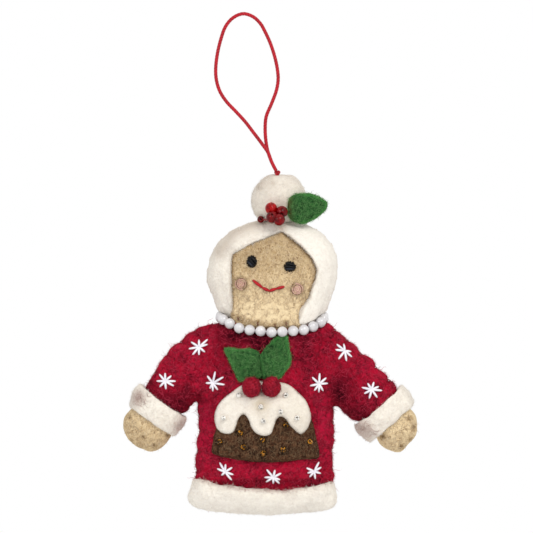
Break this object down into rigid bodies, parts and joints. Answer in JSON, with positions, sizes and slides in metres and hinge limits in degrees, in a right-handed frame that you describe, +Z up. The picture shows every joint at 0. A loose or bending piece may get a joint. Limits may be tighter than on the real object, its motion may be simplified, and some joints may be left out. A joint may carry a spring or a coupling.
{
  "type": "felt christmas ornament",
  "caption": "Stuffed felt figure in a hooded Christmas jumper with a pudding on the chest, hung from a cord loop that it swings on.",
  "frame": {"origin": "top of the cord loop, on the cord's centre line, where a hook or twig bears", "axes": "+Z up, the figure faces -Y, +X to the right of someone who looks at its face"},
  "size_m": [0.1082, 0.0374, 0.1874],
  "materials": {
    "cord_red": "satin",
    "felt_cream": "felted wool",
    "felt_tan": "flecked felted wool",
    "felt_crimson": "boiled wool",
    "felt_green": "felted wool",
    "felt_brown": "felted wool",
    "wadding": "loose fibre",
    "thread_white": "stranded thread",
    "thread_black": "stranded thread",
    "thread_red": "stranded thread",
    "thread_pink": "stranded thread",
    "glass_red": "polished",
    "glass_clear": "polished, silver lined",
    "glass_amber": "polished",
    "pearl": "pearl"
  },
  "bodies": {
    "hanger": {"hang_cord": "cord_red"},
    "knot": {"cord_knot": "cord_red"},
    "figure": {"bobble": "felt_cream", "bobble_leaf": "felt_green", "glass_bead_1": "glass_red", "glass_bead_2": "glass_red", "glass_bead_3": "glass_red", "glass_bead_4": "glass_red", "glass_bead_5": "glass_red", "hood_front": "felt_cream", "hood_back": "felt_cream", "head_front": "felt_tan", "head_back": "felt_tan", "head_wadding": "wadding", "eye_left": "thread_black", "eye_right": "thread_black", "cheek_left": "thread_pink", "cheek_right": "thread_pink", "mouth_stitches": "thread_red", "pearl_string": "pearl", "jumper_front": "felt_crimson", "jumper_back": "felt_crimson", "body_wadding": "wadding", "hem_trim": "felt_cream", "cuff_left": "felt_cream", "cuff_right": "felt_cream", "hand_left": "felt_tan", "hand_right": "felt_tan", "pudding_base": "felt_brown", "pudding_icing": "felt_cream", "pudding_leaf_left": "felt_green", "pudding_leaf_right": "felt_green", "berry_left": "felt_crimson", "berry_right": "felt_crimson", "silver_bead_1": "glass_clear", "silver_bead_2": "glass_clear", "silver_bead_3": "glass_clear", "silver_bead_4": "glass_clear", "silver_bead_5": "glass_clear", "silver_bead_6": "glass_clear", "silver_bead_7": "glass_clear", "amber_bead_1": "glass_amber", "amber_bead_2": "glass_amber", "amber_bead_3": "glass_amber", "amber_bead_4": "glass_amber", "amber_bead_5": "glass_amber", "amber_bead_6": "glass_amber", "amber_bead_7": "glass_amber", "amber_bead_8": "glass_amber", "snowflake_1": "thread_white", "snowflake_2": "thread_white", "snowflake_3": "thread_white", "snowflake_4": "thread_white", "snowflake_5": "thread_white", "snowflake_6": "thread_white", "snowflake_7": "thread_white", "snowflake_8": "thread_white", "snowflake_9": "thread_white"}
  },
  "joints": [
    {"name": "swing_sideways", "type": "hinge", "parent": "hanger", "child": "knot", "pos_m": [0.0121, 0, -0.0589], "axis": [0, 1, 0], "range_deg": [-40, 40]},
    {"name": "swing_forwards", "type": "hinge", "parent": "knot", "child": "figure", "pos_m": [0.0121, 0, -0.0589], "axis": [1, 0, 0], "range_deg": [-40, 40]}
  ]
}
